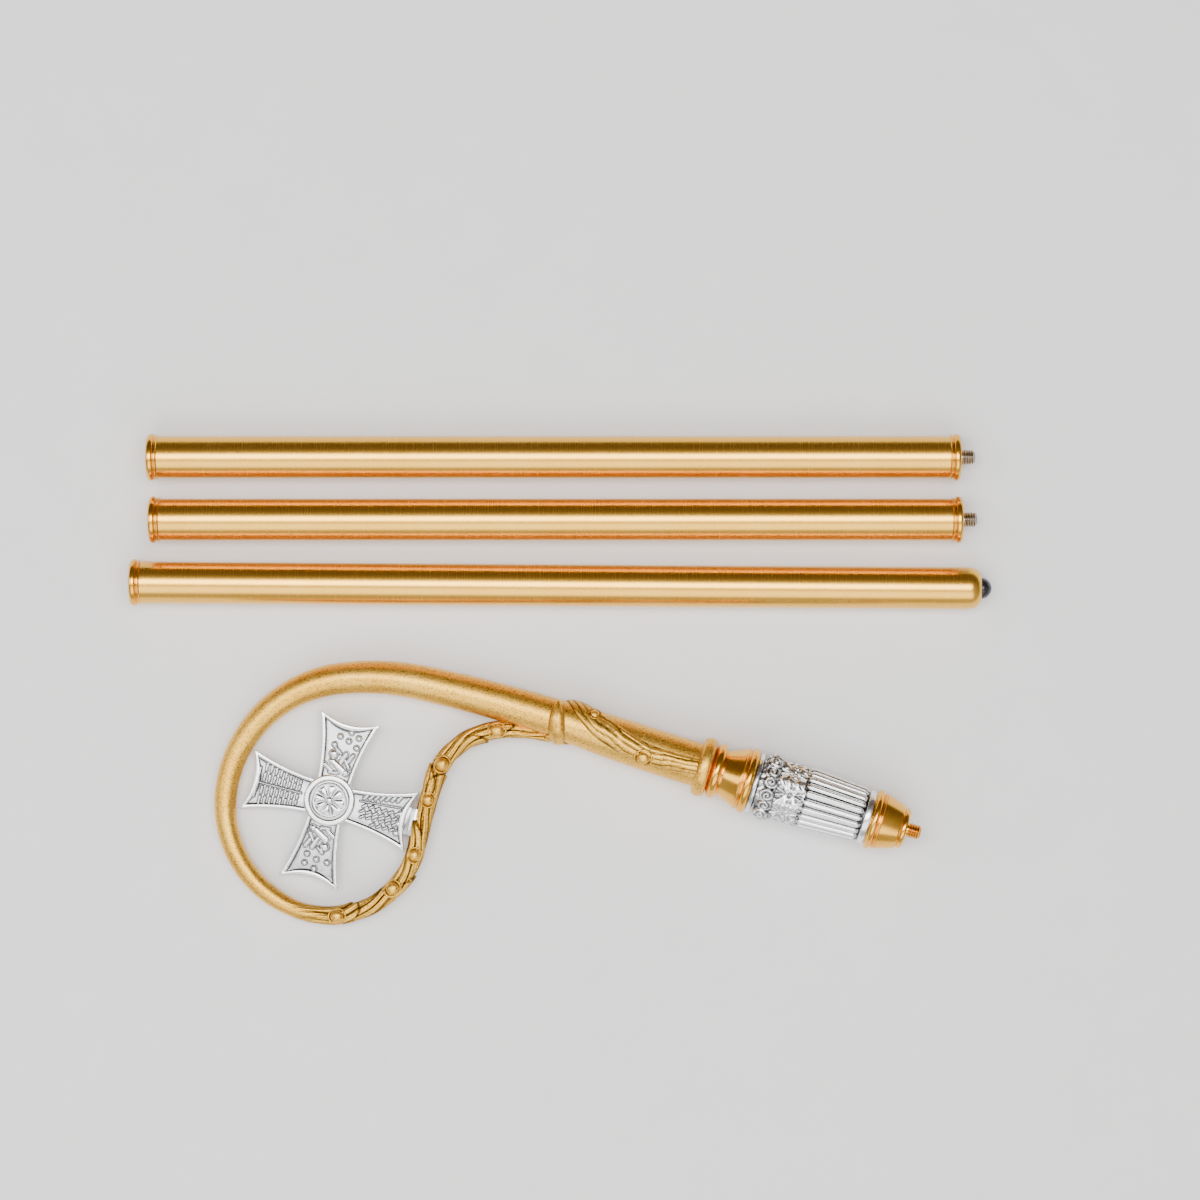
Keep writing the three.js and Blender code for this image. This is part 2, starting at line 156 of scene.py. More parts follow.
def grid(points, shade=None):
    """A closed skin from rings of points, each ring going round, with a fan over both ends."""
    rows, columns = points.shape[:2]
    ends = np.stack([points[0].mean(axis=0), points[-1].mean(axis=0)])
    vertices = np.concatenate([points.reshape(-1, 3), ends])
    row, column = np.meshgrid(np.arange(rows - 1), np.arange(columns), indexing="ij")
    after = (column + 1) % columns
    quads = np.stack([row * columns + column, row * columns + after,
                      (row + 1) * columns + after, (row + 1) * columns + column], axis=-1)
    faces = quads.reshape(-1, 4).tolist()
    first, last = rows * columns, rows * columns + 1
    base = (rows - 1) * columns
    for c in range(columns):
        faces.append([first, (c + 1) % columns, c])
        faces.append([last, base + c, base + (c + 1) % columns])
    shades = np.zeros(rows * columns) if shade is None else shade.reshape(-1)
    return vertices, faces, np.concatenate([shades, [0, 0]])


def turned(profile, sides=96, shade=None):
    """A turned skin about x from (x, radius) points."""
    profile = np.array(profile, float)
    angle = np.arange(sides) * TAU / sides
    rings = np.empty((len(profile), sides, 3))
    rings[..., 0] = profile[:, :1]
    rings[..., 1] = profile[:, 1:] * np.cos(angle)
    rings[..., 2] = profile[:, 1:] * np.sin(angle)
    shades = None if shade is None else np.repeat(np.array(shade, float)[:, None], sides, axis=1)
    return grid(rings, shades)


def join(parts):
    vertices, faces, shades, offset = [], [], [], 0
    for part_vertices, part_faces, part_shades in parts:
        vertices.append(part_vertices)
        faces += [[index + offset for index in face] for face in part_faces]
        shades.append(part_shades)
        offset += len(part_vertices)
    return np.concatenate(vertices), faces, np.concatenate(shades)


def place(part, x=0, y=0, z=0, turn=0):
    vertices, faces, shades = part
    c, s = math.cos(math.radians(turn)), math.sin(math.radians(turn))
    along, across, up = vertices.T
    moved = np.stack([c * along - s * across + x, s * along + c * across + y, up + z], axis=1)
    return moved, faces, shades


def piece(name, part, matrix, material, nodes, smooth_angle=40):
    """Puts a skin in the world, rests it on the floor plane and rides it on the crosier's body."""
    vertices, faces, shades = part
    world = np.array(matrix.to_3x3()) @ (vertices.T * MM) + np.array(matrix.translation)[:, None]
    world[2] = np.maximum(world[2], RESTING_FLAT * MM)
    mesh = bpy.data.meshes.new(name)
    mesh.from_pydata(world.T.tolist(), [], faces)
    # Painted shade per vertex, read by the materials to darken grooves, hollows, bores and the edges of
    # relief.
    mesh.attributes.new("painted_shade", "FLOAT", "POINT").data.foreach_set("value", shades.astype(np.float32))
    mesh.update()
    mesh.shade_smooth()
    mesh.set_sharp_from_angle(angle=math.radians(smooth_angle))
    mesh.materials.append(material)
    made = bpy.data.objects.new(name, mesh)
    bpy.context.scene.collection.objects.link(made)
    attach(made, "root")
    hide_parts(*nodes)
    return made


def rounded(profile, steps=6):
    """Runs a smooth curve through (x, radius) points."""
    points = np.array(profile, float)
    padded = np.concatenate([[2 * points[0] - points[1]], points, [2 * points[-1] - points[-2]]])
    out = []
    for a, b, c, d in zip(padded, padded[1:], padded[2:], padded[3:]):
        for t in np.arange(steps) / steps:
            out.append(0.5 * (2 * b + (c - a) * t + (2 * a - 5 * b + 4 * c - d) * t * t
                              + (3 * b - a - 3 * c + d) * t ** 3))
    out.append(points[-1])
    return [tuple(point) for point in out]


def bead(start, end, inner, outer, steps=12):
    """Profile of a round bead standing on a radius."""
    turn = np.linspace(0, math.pi, steps)
    middle, half = (start + end) / 2, (end - start) / 2
    return [(middle - half * math.cos(a), inner + (outer - inner) * math.sin(a)) for a in turn]


# ------------------------------------------------------------------ materials

class Nodes:
    """Short names for building one node material."""

    def __init__(self, name, metallic, roughness):
        self.material = bpy.data.materials.new(name)
        self.material.use_nodes = True
        self.tree = self.material.node_tree
        self.shader = self.tree.nodes["Principled BSDF"]
        self.shader.inputs["Metallic"].default_value = metallic
        self.shader.inputs["Roughness"].default_value = roughness

    def add(self, kind, **settings):
        node = self.tree.nodes.new(kind)
        for key, value in settings.items():
            setattr(node, key, value)
        return node

    def link(self, source, target):
        self.tree.links.new(source, target)

    def coordinates(self, scale=(1, 1, 1)):
        source = self.add("ShaderNodeTexCoord")
        mapping = self.add("ShaderNodeMapping")
        mapping.inputs["Scale"].default_value = scale
        self.link(source.outputs["Object"], mapping.inputs["Vector"])
        return mapping.outputs["Vector"]

    def noise(self, scale, detail=3, stretch=(1, 1, 1)):
        node = self.add("ShaderNodeTexNoise")
        node.inputs["Scale"].default_value = scale
        node.inputs["Detail"].default_value = detail
        self.link(self.coordinates(stretch), node.inputs["Vector"])
        return node.outputs["Fac"]

    def ramp(self, source, stops):
        node = self.add("ShaderNodeValToRGB")
        elements = node.color_ramp.elements
        for element, (at, colour) in zip(elements, stops[:2]):
            element.position = at
            element.color = (*colour, 1)
        for at, colour in stops[2:]:
            elements.new(at).color = (*colour, 1)
        self.link(source, node.inputs["Fac"])
        return node.outputs["Color"]

    def spread(self, source, low, high, start=0.3, end=0.7):
        node = self.add("ShaderNodeMapRange")
        for key, value in (("From Min", start), ("From Max", end), ("To Min", low), ("To Max", high)):
            node.inputs[key].default_value = value
        self.link(source, node.inputs["Value"])
        return node.outputs["Result"]

    def mix(self, factor, first, second, blend="MIX"):
        node = self.add("ShaderNodeMix", data_type="RGBA", blend_type=blend)
        colours = [socket for socket in node.inputs if socket.type == "RGBA"]
        for target, value in ((node.inputs[0], factor), (colours[0], first), (colours[1], second)):
            if isinstance(value, (int, float)):
                target.default_value = value
            elif isinstance(value, tuple):
                target.default_value = (*value, 1)
            else:
                self.link(value, target)
        return [socket for socket in node.outputs if socket.type == "RGBA"][0]

    # Reads the painted shade stored on each skin's vertices.
    def painted_shade(self):
        node = self.add("ShaderNodeAttribute", attribute_name="painted_shade")
        return node.outputs["Fac"]

    def bump(self, height, strength, distance):
        node = self.add("ShaderNodeBump")
        node.inputs["Strength"].default_value = strength
        node.inputs["Distance"].default_value = distance
        self.link(height, node.inputs["Height"])
        self.link(node.outputs["Normal"], self.shader.inputs["Normal"])

    def finish(self, colour, roughness):
        self.link(colour, self.shader.inputs["Base Color"])
        self.link(roughness, self.shader.inputs["Roughness"])
        return self.material


def gilt():
    """Satin gilding with a fine sandy grain; painted shade turns it near-black brown in its grooves and
    along its edges.
    """
    m = Nodes("gilt", 1.0, 0.42)
    grain = m.noise(1100, 4)
    cloud = m.noise(30, 3)
    gold = m.ramp(cloud, [(0.3, (0.88, 0.48, 0.06)), (0.7, (0.96, 0.58, 0.095))])
    speck = m.ramp(grain, [(0.36, (0.5, 0.4, 0.32)), (0.5, (1, 1, 1))])
    gold = m.mix(1.0, gold, speck, "MULTIPLY")
    # Painted shade: the gold goes to near-black brown where the skin carries painted shade.
    gold = m.mix(m.painted_shade(), gold, (0.035, 0.010, 0.003))
    m.bump(grain, 0.3, 0.0002)
    return m.finish(gold, m.spread(grain, 0.36, 0.5))


def polished():
    """Bright turned brass with faint lathe marks."""
    m = Nodes("polished_brass", 1.0, 0.17)
    marks = m.noise(420, 2)
    cloud = m.noise(60, 2)
    gold = m.ramp(cloud, [(0.3, (0.86, 0.41, 0.04)), (0.7, (0.93, 0.50, 0.07))])
    # Painted shade: the brass goes to dark brown where the skin carries painted shade, as in the socket's
    # bore and the thread roots.
    gold = m.mix(m.painted_shade(), gold, (0.2, 0.07, 0.02))
    m.bump(marks, 0.03, 0.0001)
    return m.finish(gold, m.spread(marks, 0.19, 0.24))


def brushed():
    """Brass tube brushed round its circumference, so the lines run across its length."""
    m = Nodes("brushed_brass", 1.0, 0.27)
    lines = m.noise(1.0, 2, (2600, 20, 20))
    bands = m.noise(1.0, 1, (30, 4, 4))
    gold = m.ramp(bands, [(0.3, (0.89, 0.48, 0.065)), (0.7, (0.92, 0.51, 0.08))])
    tone = m.ramp(lines, [(0.3, (0.96, 0.955, 0.95)), (0.6, (1, 1, 1))])
    gold = m.mix(1.0, gold, tone, "MULTIPLY")
    return m.finish(gold, m.spread(lines, 0.265, 0.275))


def silver():
    """Bright silver, with shade painted near-black where the relief is deep and round each raised piece.
    """
    m = Nodes("silver", 1.0, 0.22)
    wear = m.noise(300, 3)
    cloud = m.noise(45, 2)
    white = m.ramp(cloud, [(0.3, (0.78, 0.785, 0.79)), (0.7, (0.92, 0.92, 0.915))])
    # Painted shade: near-black silver where the skin carries painted shade.
    dark = m.mix(m.painted_shade(), white, (0.03, 0.031, 0.036))
    m.bump(wear, 0.1, 0.0002)
    return m.finish(dark, m.spread(wear, 0.18, 0.3))


def steel():
    m = Nodes("thread_steel", 1.0, 0.3)
    marks = m.noise(1.0, 3, (2600, 300, 300))
    grey = m.ramp(marks, [(0.3, (0.42, 0.36, 0.28)), (0.7, (0.66, 0.60, 0.52))])
    # Painted shade: the steel goes near-black in the thread's roots.
    grey = m.mix(m.painted_shade(), grey, (0.05, 0.04, 0.03))
    m.bump(marks, 0.1, 0.0001)
    return m.finish(grey, m.spread(marks, 0.22, 0.4))


def rubber():
    m = Nodes("black_rubber", 0.0, 0.25)
    grain = m.noise(700, 3)
    black = m.ramp(grain, [(0.3, (0.008, 0.008, 0.009)), (0.7, (0.02, 0.02, 0.023))])
    m.bump(grain, 0.08, 0.0001)
    return m.finish(black, m.spread(grain, 0.16, 0.3))


def paper():
    m = Nodes("pale_floor", 0.0, 0.85)
    grain = m.noise(30, 2)
    return m.finish(m.ramp(grain, [(0.3, (0.89, 0.885, 0.88)), (0.7, (0.91, 0.905, 0.90))]),
                    m.spread(grain, 0.82, 0.9))


GILT, POLISHED, BRUSHED = gilt(), polished(), brushed()
SILVER, STEEL, RUBBER = silver(), steel(), rubber()


# ------------------------------------------------------------------ staff sections

def ring_profile(start, direction):
    """A polished bead at the face, a quirk and a thin fillet on the tube's side."""
    outline = [(0, 12.7), (0.15, 13), *bead(0.15, 3.9, 12.8, RING_RADIUS), (4.1, 12.6), (4.3, 12.6),
               *bead(4.4, 5.8, 12.7, 13.3, 7), (RING_LENGTH, 12.55), (RING_LENGTH + 0.2, 12.4)]
    return [(start + direction * x, radius) for x, radius in outline]


def socket_end():
    bore = BORE_RADIUS
    profile = [(BORE_DEPTH, 0.01), (BORE_DEPTH, bore), (0.7, bore), (0, bore + 0.7), *ring_profile(0, 1)]
    # Painted shade: the bore is painted dark, fading out at its chamfer.
    shade = [1.0, 1.0, 0.45, 0.0] + [0.0] * (len(profile) - 4)
    return turned(profile, 96, shade)


def shoulder_end():
    return turned([*ring_profile(ROD_LENGTH, -1)[::-1], (ROD_LENGTH, THREAD_RADIUS + 0.5)])


def stud(shoulder=0.0):
    """A real helical thread on a plain neck, with a bevelled end."""
    columns, rows = 48, 150
    height = np.linspace(0, THREAD_OUT, rows)[:, None]
    angle = (np.arange(columns) * TAU / columns)[None, :]
    wave = np.abs(((height / THREAD_PITCH - angle / TAU) % 1) * 2 - 1)
    neck = np.clip((height - 1.3) / 0.6, 0, 1)
    radius = THREAD_ROOT + (THREAD_RADIUS - THREAD_ROOT) * wave * neck
    radius = np.minimum(radius, THREAD_ROOT - 0.9 + (THREAD_OUT - height) * 1.2)
    x = shoulder + height + 0 * angle
    points = np.stack([x, radius * np.cos(angle), radius * np.sin(angle)], axis=-1)
    # Painted shade in the thread's roots.
    return grid(points, (1 - wave) * 0.75 * neck)


def plain_tube():
    start, end = RING_LENGTH + 0.2, ROD_LENGTH - RING_LENGTH - 0.2
    return turned([(x, ROD_RADIUS) for x in np.linspace(start, end, 60)], 128)


def domed_tube():
    start, shoulder = RING_LENGTH + 0.2, FOOT_LENGTH - DOME_LENGTH
    profile = [(x, ROD_RADIUS) for x in np.linspace(start, shoulder, 60)]
    for turn in np.linspace(0, math.pi / 2, 16)[1:]:
        profile.append((shoulder + DOME_LENGTH * math.sin(turn),
                        FLAT_RADIUS + (ROD_RADIUS - FLAT_RADIUS) * math.cos(turn)))
    profile.append((FOOT_LENGTH - 1.5, TIP_RADIUS + 0.2))
    return turned(profile, 128)


def rubber_tip():
    profile = [(FOOT_LENGTH - 3, TIP_RADIUS), (FOOT_LENGTH + 0.8, TIP_RADIUS)]
    for turn in np.linspace(0, math.pi / 2, 14)[1:]:
        profile.append((FOOT_LENGTH + 0.8 + (TIP_OUT - 0.8) * math.sin(turn) ** 1.15,
                        max(TIP_RADIUS * math.cos(turn), 0.05)))
    return turned(profile, 64)


def staff_section(number):
    matrix = rod_matrix(number)
    name = f"rod_{number}"
    is_foot = number == 3
    skin = domed_tube() if is_foot else plain_tube()
    piece(f"{name}_tube_skin", skin, matrix, BRUSHED, [f"{name}_tube"])
    piece(f"{name}_socket_skin", socket_end(), matrix, POLISHED,
          [f"{name}_socket_end"], 60)
    if is_foot:
        piece(f"{name}_tip_skin", rubber_tip(), matrix, RUBBER, [f"{name}_tip"])
        return
    piece(f"{name}_shoulder_skin", shoulder_end(), matrix, POLISHED,
          [f"{name}_shoulder_end"], 60)
    piece(f"{name}_thread", stud(ROD_LENGTH), matrix, STEEL, [f"{name}_stud"], 70)


# ------------------------------------------------------------------ crook

def along_crook(lengths):
    """Points and headings on the line of arcs, at arc lengths from the collar."""
    lengths = np.asarray(lengths, float)
    x = np.full(lengths.shape, float(STAFF_START))
    y = np.zeros(lengths.shape)
    heading = np.zeros(lengths.shape)
    left = lengths.copy()
    for run, turn in BENDS:
        step = np.minimum(left, run)
        radius = run / math.radians(turn)
        after = heading + step / radius
        x += radius * (np.sin(after) - np.sin(heading))
        y -= radius * (np.cos(after) - np.cos(heading))
        heading = after
        left = left - step
    x += left * np.cos(heading)
    y += left * np.sin(heading)
    return x, y, heading


def crook_radius(lengths):
    return np.interp(lengths, *zip(*TAPER))


def skin_points(lengths, angles, radius):
    """Points at a radius and an angle round the crook's line, the angle from +y over the top."""
    x, y, heading = along_crook(lengths)
    return np.stack([x - np.sin(heading) * np.cos(angles) * radius,
                     y + np.cos(heading) * np.cos(angles) * radius,
                     np.sin(angles) * radius + 0 * x], axis=-1)


def bark(lengths, across, ridges, seed):
    """Height of the bark from 0 in its grooves to 1, across one turn or one width."""
    wobble = 0.10 * np.sin(lengths / 9.3 + seed) + 0.06 * np.sin(lengths / 4.1 + 2.1 * seed + 3 * across)
    coarse = np.abs(np.sin(math.pi * (ridges * across + wobble * 2)))
    fine = np.abs(np.sin(math.pi * (ridges * 2.5 * across + wobble * 3 + seed)))
    return np.clip(coarse ** 0.45 * 0.7 + fine ** 0.6 * 0.3, 0, 1)


def curl():
    """The smooth tube, whose end sinks under the bark of the vine."""
    lengths = np.linspace(-0.5, CURL_END, 270)[:, None]
    angles = (-np.arange(48) * TAU / 48)[None, :]
    fade = np.clip((lengths - 396) / 36, 0, 1)
    radius = crook_radius(lengths) - 1.1 * fade + 0 * angles
    return grid(skin_points(lengths + 0 * angles, angles + 0 * lengths, radius))


def vine():
    """The branch: long twisting strands, with pointed tongues of bark lying over one another."""
    rows, columns = 560, 84
    lengths = np.linspace(VINE_START, VINE_END, rows)[:, None]
    angles = (-np.arange(columns) * TAU / columns)[None, :]
    fade = np.clip((lengths - VINE_START) / 26 - 0.25 * np.sin(angles * 3 + 1), 0, 1)
    twist = (angles / TAU + lengths / 190) % 1
    height = bark(lengths, twist, 7, 1.7)
    radius = crook_radius(lengths) - 0.55 * (1 - fade) + fade * (height - 0.8) * 1.9
    # Painted shade: dark in the bark's grooves and along the vine's two sides as seen from above.
    shade = fade * (np.clip(1 - height * 1.2, 0, 1) * 2.6 + 0.45 * np.abs(np.cos(angles)) ** 6)
    for at, degrees in BARK_STEPS:
        facing = np.cos(angles - math.radians(degrees))
        edge = at - TONGUE * (1 - facing)
        near = np.clip(facing * 1.3 + 0.5, 0, 1) * fade
        ramp = np.clip((lengths - edge + 18) / 18, 0, 1) * (lengths < edge)
        radius = radius + 1.2 * ramp ** 1.6 * near
        # Painted shade in a narrow strip just past each tongue's edge, where the skin also dips.
        beyond = np.clip(1 - np.abs(lengths - edge - 0.9) / 1.1, 0, 1)
        shade = np.maximum(shade, beyond * near)
        radius = radius - 0.5 * beyond * near
    for at, degrees, _ in BUDS:
        facing = np.clip(np.cos(angles - math.radians(degrees)) * 1.5, 0, 1)
        radius = radius + 0.75 * np.exp(-((lengths - at) / 5.5) ** 2) * facing * fade
    return grid(skin_points(lengths + 0 * angles, angles + 0 * lengths, radius), np.clip(shade, 0, 0.95))


def laid_branch(table, rise, ridges, rows, columns, texture=1.0):
    """A low branch lying on the staff, with strands of bark along it."""
    stations = np.array(table, float)
    share = np.linspace(0, 1, len(stations))
    t = np.linspace(0, 1, rows)
    smooth = [np.interp(t, share, stations[:, k]) for k in range(3)]
    kernel = np.hanning(rows // 8 | 1)
    kernel /= kernel.sum()
    half = len(kernel) // 2
    smooth = [np.convolve(np.pad(column, half, mode="reflect", reflect_type="odd"), kernel, "valid")
              for column in smooth]
    lengths, degrees, widths = (column[:, None] for column in smooth)
    radius = crook_radius(lengths)
    slope = np.gradient(smooth[1] * math.pi / 180)[:, None] * radius
    advance = np.gradient(smooth[0])[:, None]
    norm = np.hypot(slope, advance)
    around = np.arange(columns) * TAU / columns
    across = -np.cos(around)[None, :] * (1 + 0 * lengths)
    lift = np.sin(around)[None, :]
    height = bark(lengths * 1.3, (across + 1) / 2, ridges, 0.6)
    top = np.where(lift > 0, np.sqrt(np.maximum(1 - across ** 2, 0)), lift * 0.5)
    crown = (lift > 0) * np.sqrt(np.maximum(lift, 0))
    out = radius + rise * top + texture * (height - 0.75) * 1.25 * crown
    out = out - 0.35
    offset = across * widths
    at = lengths + offset * slope / norm
    angle = np.radians(degrees) - offset * advance / norm / radius
    # Painted shade: dark in the bark's grooves and along the branch's edges and underside.
    shade = texture * np.clip(1 - height * 1.2, 0, 1) * 2.6 * (lift > 0)
    shade = np.clip(np.maximum(shade, np.clip(1.3 - lift * 2.6, 0, 1)), 0, 0.95)
    return grid(skin_points(at, angle, out)[:, ::-1], shade[:, ::-1])


def bud(length, degrees, radius, stretch=BUD_STRETCH, seat=BUD_SEAT):
    """A smooth oval bud in a ring groove of painted shade, with a thin raised lip."""
    rings, sides = 24, 24
    turn = np.linspace(0.02, math.pi / 2 + 0.7, rings)[:, None]
    around = (np.arange(sides) * TAU / sides)[None, :]
    flat = radius * np.sin(np.minimum(turn, math.pi / 2))
    flat = flat + np.clip(turn - math.pi / 2, 0, None) * radius * 0.75
    rise = radius * 0.85 * np.cos(np.minimum(turn, math.pi / 2))
    rise = rise + 0.7 * np.sin(np.clip((turn - math.pi / 2 - 0.12) / 0.58, 0, 1) * math.pi)
    base = crook_radius(length)
    at = length + flat * np.cos(around) * stretch
    angle = math.radians(degrees) + flat * np.sin(around) / base
    points = skin_points(at, angle, base + seat + rise + 0 * around)
    points[-1] = skin_points(at[-1], angle[-1], base - 1.2)
    # Painted shade in the ring groove and over the skin sinking past the lip.
    groove = np.exp(-((turn - math.pi / 2 - 0.06) / 0.2) ** 2) + 0.9 * (turn > math.pi / 2 + 0.6)
    groove = np.clip(groove + 0 * around, 0, 0.97)
    return grid(points, groove)


def collar():
    profile = rounded([(120.6, 14), (121, 16.2), (122.3, 17.5), (124.6, 17.9), (126.9, 17.5),
                       (128.2, 16.1), (128.7, 14.2)])
    return turned([(120.5, 13), *profile, (128.8, 12.6)])


def crook():
    parts = [curl(), vine(), collar(), laid_branch(CLIMB, CLIMB_RISE, 4, 340, 56),
             laid_branch(CLASP, CLASP_RISE, 2, 90, 36, 0.25)]
    parts += [bud(*row) for row in BUDS]
    parts += [bud(*row, CLIMB_BUD_STRETCH, CLIMB_BUD_SEAT) for row in CLIMB_BUDS]
    return join(parts)


# ------------------------------------------------------------------ turned cups and silver knop

def lower_cup():
    return turned([
        (0.05, THREAD_RADIUS + 0.1), (0, 11.2),
        *rounded([(0.1, 11.6), (0.9, 12.1), (1.9, 12.2), (2.9, 11.9)]),
        (3.3, 11.3), (3.6, 11.4), (3.7, 13.1), *rounded([(4, 13.3), (9.5, 15.1), (15.3, 16.9)]),
        *bead(15.5, 16.8, 16.6, 17.2, 7), (17, 15.9), (17.4, 15.9), *bead(17.5, 21.6, 16, 18.1),
        (21.8, 15.8), (22.3, 15.6),
    ])


def upper_cup():
    return turned([
        (94.3, 15), (94.5, 16.5), (94.6, 17.6), *bead(94.8, 99.8, 17.7, 20), (100.1, 17.9), (100.6, 17.9),
        *bead(100.7, 101.9, 18.3, 19.1, 7),
        *rounded([(102.2, 18.3), (106, 16.5), (110, 14.8), (112.9, 13.7)]),
        (113.1, 13.3), (113.6, 13.3), *bead(113.8, 119.9, 13.6, 16.8), (120.2, 13.4), (120.4, 12.5),
    ])


def scallop(value):
    return np.sqrt(np.clip(1 - value ** 2, 0, 1))


def knop():
    """Silver capital: reeded bell, a collar of leaves, corner scrolls and a smooth hollow neck."""
    rows, columns = 236, 396
    height = np.linspace(KNOP_START, KNOP_END, rows)[:, None] + np.zeros((1, columns))
    angle = (np.arange(columns) * TAU / columns)[None, :] + 0 * height
    step = TAU / KNOP_CORNERS
    corner = ((angle - math.pi / 2) % step) / step * 2 - 1   # 0 on a corner, -1 and 1 between
    arc = corner * step / 2 * KNOP_RADIUS                    # distance round from the corner
    radius = np.full(height.shape, 16.1)
    shade = np.zeros(height.shape)

    # end rings
    radius = np.where(height < 26.2, 16.1 - 0.25 * ((height - 24.4) / 1.8) ** 2, radius)
    gap = (height >= 26.2) & (height < REEDS_START)
    radius = np.where(gap, 14.8, radius)
    # Painted shade in the gap between the end ring and the reeds.
    shade = np.where(gap, 0.95, shade)

    # reeds, with round ends and painted shade in the hollows between them
    reed = ((angle / TAU * FLUTES + 0.26) % 1) * 2 - 1
    ridge = 16.6 + (height - 27) / 36 * 2.3
    run_in = np.clip((height - REEDS_START) / 2.6, 0, 1)
    run_out = np.clip((REEDS_END - height) / 2.2, 0, 1)
    cap = scallop(1 - np.minimum(run_in, run_out))
    body = scallop(np.clip(np.abs(reed) * 1.12 + (1 - cap) * 0.75, 0, 1))
    crease = np.exp(-(reed / 0.13) ** 2) * 0.28
    reeded = ridge - 2.0 + 2.0 * body * (0.55 + 0.45 * cap) - crease
    in_reeds = (height >= REEDS_START) & (height < REEDS_END)
    radius = np.where(in_reeds, reeded, radius)
    shade = np.where(in_reeds, np.clip(1 - body * 1.9, 0, 1) * 1.2 + crease * 0.5, shade)

    # joint line above the reeds
    line = (height >= REEDS_END) & (height < LEAVES_START)
    radius = np.where(line, 17.9 + 0 * height, radius)
    shade = np.where(line, 0.35 + 0.5 * (np.sin(angle * FLUTES * 2) > 0.2), shade)

    # leaves on the corners over crossing ribbons
    up = np.clip((height - LEAVES_START) / 15.6, 0, 1)
    lobes = 1 + 0.14 * np.cos(up * 20)
    half = 6.8 * np.clip(np.sin(math.pi * (0.16 + 0.72 * up)), 0, 1) * lobes
    side = np.clip(np.abs(arc) / half, 0, 1.5)
    leaf = scallop(np.clip(side, 0, 1)) * (side < 1)
    vein = 0.5 + 0.5 * np.cos(up * 20 + side * 4.5)
    rib = np.exp(-(arc / 0.55) ** 2)
    eyes = np.exp(-(((np.abs(arc) - 2.9) / 0.7) ** 2 + ((height - 71.5) / 1.3) ** 2))
    ribbon = np.exp(-((np.abs(arc) - (7.6 - 5.2 * np.abs(up - 0.5))) / 0.75) ** 2)
    leaves = 16.7 + 2.1 * leaf * (0.72 + 0.28 * vein) + 0.45 * rib * leaf - 1.5 * np.clip(eyes, 0, 1)
    leaves += 1.25 * ribbon * (side >= 0.9)
    in_leaves = (height >= LEAVES_START) & (height < LEAVES_END)
    radius = np.where(in_leaves, leaves, radius)
    # Painted shade: dark between the leaves and ribbons, in the eyes and in the furrows between the
    # veins.
    dark = np.clip(1 - leaf * 2 - ribbon, 0, 1) * 0.85 + 0.4 * np.clip(eyes, 0, 1)
    dark += (0.22 - 0.22 * vein) * leaf
    shade = np.where(in_leaves, np.clip(dark, 0, 1), shade)

    # corner scrolls between stretches of plain hollow bell
    above = np.clip((height - LEAVES_END) / 11.6, 0, 1)
    bell = 16.9 - 2.7 * np.sin(math.pi * np.clip(above * 0.85, 0, 1)) ** 0.8
    for way in (-1, 1):
        across = arc * way - 3.1
        lift = height - 84.7
        away = np.hypot(across, lift * 0.88)
        spin = np.arctan2(lift, across)
        coil = (0.5 + 0.5 * np.cos(TAU * away / 2.1 - spin * way)) ** 1.5
        dome = scallop(np.clip(away / SCROLL, 0, 1))
        scroll = 15.4 + 4.9 * dome ** 0.6 - 1.1 * coil * dome
        bell = np.where(away < SCROLL, np.maximum(bell, scroll), bell)
        # Painted shade in the scrolls' spiral grooves.
        shade = np.where((away < SCROLL) & (height >= LEAVES_END), coil * 0.95, shade)
    in_bell = (height >= LEAVES_END) & (height < BELL_END)
    radius = np.where(in_bell, bell, radius)
    edge = (height >= LEAVES_END) & (height < 81)
    # Painted shade along the bell's foot just above the leaves.
    shade = np.where(edge, 0.7, shade)

    # top ring
    radius = np.where(height >= BELL_END, 18.2 - 0.3 * np.abs(height - 92.9), radius)
    seat = (height >= 90.9) & (height < BELL_END)
    # Painted shade on the seat under the top ring.
    shade = np.where(seat, 0.85, shade)
    points = np.stack([height, radius * np.cos(angle), radius * np.sin(angle)], axis=-1)
    return grid(points, np.clip(shade, 0, 1))


# ------------------------------------------------------------------ silver cross

def bezier(start, control, end, steps):
    t = (np.arange(steps) / steps)[:, None]
    start, control, end = (np.array(p, float) for p in (start, control, end))
    return (1 - t) ** 2 * start + 2 * t * (1 - t) * control + t ** 2 * end


def cross_loop(margin, z, steps=20):
    """Outline of the flared arms drawn in by a margin, at a height."""
    tip = ARM_LENGTH - margin * 1.4
    half = ARM_HALF_WIDTH - margin * 1.6
    root = ROOT_HALF_WIDTH - margin
    dip = tip - END_DIP * 2
    points = []
    for arm in range(4):
        c, s = round(math.cos(arm * math.pi / 2)), round(math.sin(arm * math.pi / 2))
        stretch = np.concatenate([
            bezier((root, -root), (tip * 0.62, -root - 1), (tip, -half), steps),
            bezier((tip, -half), (dip, 0), (tip, half), steps),
            bezier((tip, half), (tip * 0.62, root + 1), (root, root), steps),
        ])
        along, across = stretch.T
        points.append(np.stack([c * along - s * across, s * along + c * across], 1))
    points = np.concatenate(points)
    return np.concatenate([points, np.full((len(points), 1), float(z))], axis=1)


